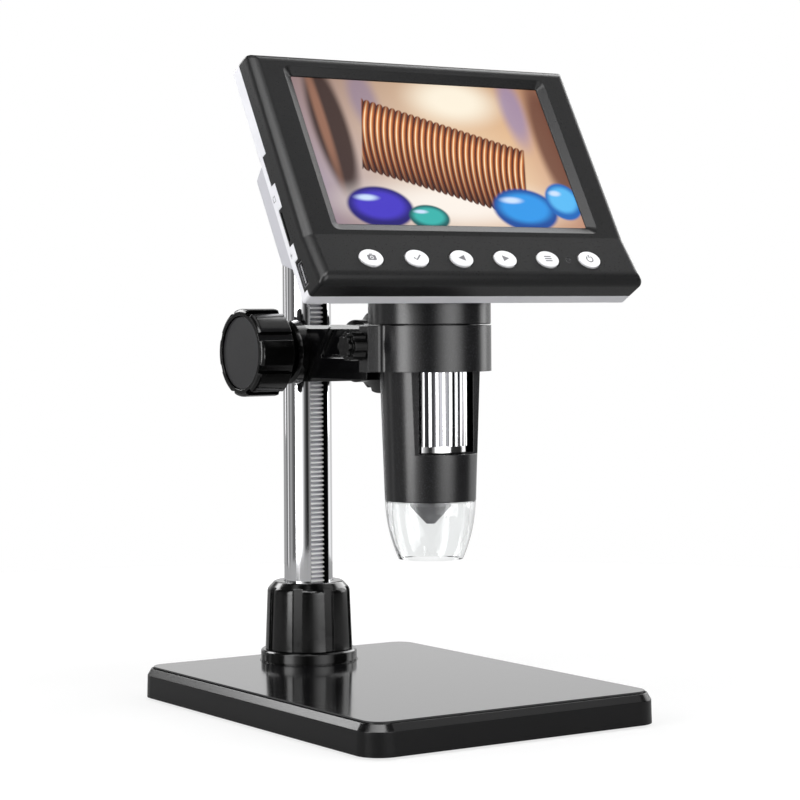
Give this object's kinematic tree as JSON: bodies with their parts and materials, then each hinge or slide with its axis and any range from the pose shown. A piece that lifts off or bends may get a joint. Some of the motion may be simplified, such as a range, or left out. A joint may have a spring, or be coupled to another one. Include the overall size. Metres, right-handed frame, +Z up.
{
  "type": "lcd digital microscope",
  "caption": "Desktop digital microscope: tilted display with keys on a focusing barrel, rack-and-pinion arm, chrome column and weighted base.",
  "frame": {"origin": "centre of the base's footprint, on the surface that its feet rest on", "axes": "+Z up along the column, +Y to the back where the column stands, +X to the right seen from the front"},
  "size_m": [0.1226, 0.1474, 0.2115],
  "materials": {
    "black_abs": "satin, fine moulded grain",
    "base_panel": "satin sheet",
    "gloss_black": "polished",
    "barrel_paint": "satin dark metallic paint",
    "chrome": "polished plating",
    "steel": "machined",
    "weight_steel": "blackened",
    "rubber": "matt",
    "nylon": "natural",
    "brass": "machined",
    "nozzle_grey": "satin",
    "clear_acrylic": "clear, polished",
    "optical_glass": "coated",
    "board_green": "solder resist",
    "chip_black": "moulded",
    "led_white": "phosphor",
    "ribbon": "polyimide film",
    "screen": "display glass",
    "white_shell": "satin white",
    "button_white": "polished",
    "battery_wrap": "shrink sleeve"
  },
  "bodies": {
    "base": {"base_tray": "black_abs", "base_top_panel": "base_panel", "base_weight": "weight_steel", "base_bottom_cover": "black_abs", "base_feet": "rubber", "base_screws": "steel", "column_socket": "black_abs", "column_tube": "chrome", "column_foot_plug": "steel", "column_bolt": "steel", "column_cap": "gloss_black", "rack": "steel"},
    "lock_nut": {"column_lock_nut": "gloss_black"},
    "carriage": {"carriage_arm": "gloss_black", "hub_bushes": "gloss_black", "brake_shoe": "nylon", "brake_screw": "steel"},
    "drive": {"pinion": "steel", "pinion_shaft": "steel", "left_knob": "gloss_black", "right_knob": "gloss_black", "left_knob_cap": "gloss_black", "right_knob_cap": "gloss_black"},
    "clamp_pad": {"thumb_screw_pad": "nylon"},
    "clamp_screw": {"thumb_screw": "gloss_black"},
    "head": {"barrel_shell": "barrel_paint", "roller_retainer": "chip_black", "sensor_board": "board_green", "image_sensor": "chip_black", "led_ring_board": "board_green", "leds": "led_white", "lens_nozzle": "nozzle_grey", "neck_collar": "barrel_paint", "neck_nut": "brass", "camera_cable": "ribbon", "front_bezel": "black_abs", "lcd_gasket": "rubber", "lcd_panel": "screen", "keypad_board": "board_green", "tact_switches": "chip_black", "indicator_lens": "clear_acrylic", "main_board": "board_green", "card_socket": "steel", "usb_socket": "steel", "battery_cell": "battery_wrap", "rear_cover": "white_shell", "case_screws": "steel"},
    "roller": {"focus_roller": "chrome"},
    "lens_slide": {"lens_carrier": "chip_black", "objective_lens": "optical_glass"},
    "cap": {"clear_cap": "clear_acrylic"},
    "key_capture": {"button_capture": "button_white"},
    "key_confirm": {"button_confirm": "button_white"},
    "key_left": {"button_left": "button_white"},
    "key_right": {"button_right": "button_white"},
    "key_menu": {"button_menu": "button_white"},
    "key_power": {"button_power": "button_white"}
  },
  "joints": [
    {"name": "carriage_lift", "type": "slide", "parent": "base", "child": "carriage", "axis": [0, 0, 1], "range_m": [-0.035, 0.045]},
    {"name": "knob_turn", "type": "hinge", "parent": "carriage", "child": "drive", "pos_m": [0, 0.0392, 0.1179], "axis": [1, 0, 0], "range_deg": [-369, 287]},
    {"name": "head_swivel", "type": "hinge", "parent": "carriage", "child": "head", "pos_m": [0, -0.0243, 0.1179], "axis": [0, 0, 1], "range_deg": [-90, 90]},
    {"name": "clamp_feed", "type": "slide", "parent": "carriage", "child": "clamp_pad", "axis": [-1, 0, 0], "range_m": [0, 0.001]},
    {"name": "clamp_turn", "type": "hinge", "parent": "clamp_pad", "child": "clamp_screw", "pos_m": [-0.025, -0.0243, 0.1206], "axis": [-1, 0, 0], "range_deg": [0, 720.1]},
    {"name": "lock_nut_turn", "type": "hinge", "parent": "base", "child": "lock_nut", "pos_m": [0, 0.0515, 0.025], "axis": [0, 0, 1], "range_deg": [0, 180]},
    {"name": "focus_turn", "type": "hinge", "parent": "head", "child": "roller", "pos_m": [0, -0.0243, 0.1], "axis": [0, 0, 1], "range_deg": [-150, 150]},
    {"name": "focus_travel", "type": "slide", "parent": "head", "child": "lens_slide", "axis": [0, 0, 1], "range_m": [-0.0026, 0.0026]},
    {"name": "cap_pull", "type": "slide", "parent": "head", "child": "cap", "axis": [0, 0, -1], "range_m": [0, 0.006]},
    {"name": "press_capture", "type": "slide", "parent": "head", "child": "key_capture", "axis": [0, 0.7947, -0.607], "range_m": [0, 0.0006], "stiffness_N_per_m": 1500},
    {"name": "press_confirm", "type": "slide", "parent": "head", "child": "key_confirm", "axis": [0, 0.7947, -0.607], "range_m": [0, 0.0006], "stiffness_N_per_m": 1500},
    {"name": "press_left", "type": "slide", "parent": "head", "child": "key_left", "axis": [0, 0.7947, -0.607], "range_m": [0, 0.0006], "stiffness_N_per_m": 1500},
    {"name": "press_right", "type": "slide", "parent": "head", "child": "key_right", "axis": [0, 0.7947, -0.607], "range_m": [0, 0.0006], "stiffness_N_per_m": 1500},
    {"name": "press_menu", "type": "slide", "parent": "head", "child": "key_menu", "axis": [0, 0.7947, -0.607], "range_m": [0, 0.0006], "stiffness_N_per_m": 1500},
    {"name": "press_power", "type": "slide", "parent": "head", "child": "key_power", "axis": [0, 0.7947, -0.607], "range_m": [0, 0.0006], "stiffness_N_per_m": 1500}
  ],
  "couplings": [
    {"joint": "knob_turn", "follows": "carriage_lift", "rad_per_m": -142.86},
    {"joint": "clamp_turn", "follows": "clamp_feed", "rad_per_m": 12566},
    {"joint": "focus_turn", "follows": "focus_travel", "rad_per_m": 1000}
  ]
}
